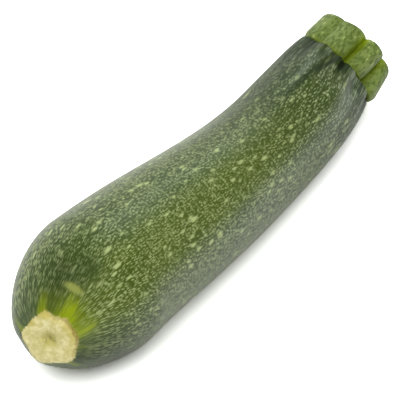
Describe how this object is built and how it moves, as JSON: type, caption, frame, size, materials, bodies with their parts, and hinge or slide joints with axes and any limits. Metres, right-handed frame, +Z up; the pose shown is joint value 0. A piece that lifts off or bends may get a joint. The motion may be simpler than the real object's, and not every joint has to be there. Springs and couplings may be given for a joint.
{
  "type": "courgette",
  "caption": "Whole dark green courgette lying on its side, thicker at the blossom end, with a pale blossom scar and a short lobed stub of stem.",
  "frame": {"origin": "middle of the footprint at the level it rests on", "axes": "+Z up; +X along the fruit from the blossom end towards the stem; +Y sideways"},
  "size_m": [0.2004, 0.0506, 0.0484],
  "materials": {
    "fruit_skin": "waxy dark green skin with fine pale flecks, soft sheen, cream blossom scar",
    "stem_skin": "light green mottled stem skin with yellow-green grooves and a pale cut face"
  },
  "bodies": {
    "root": {"fruit": "fruit_skin", "stem": "stem_skin"}
  },
  "joints": []
}
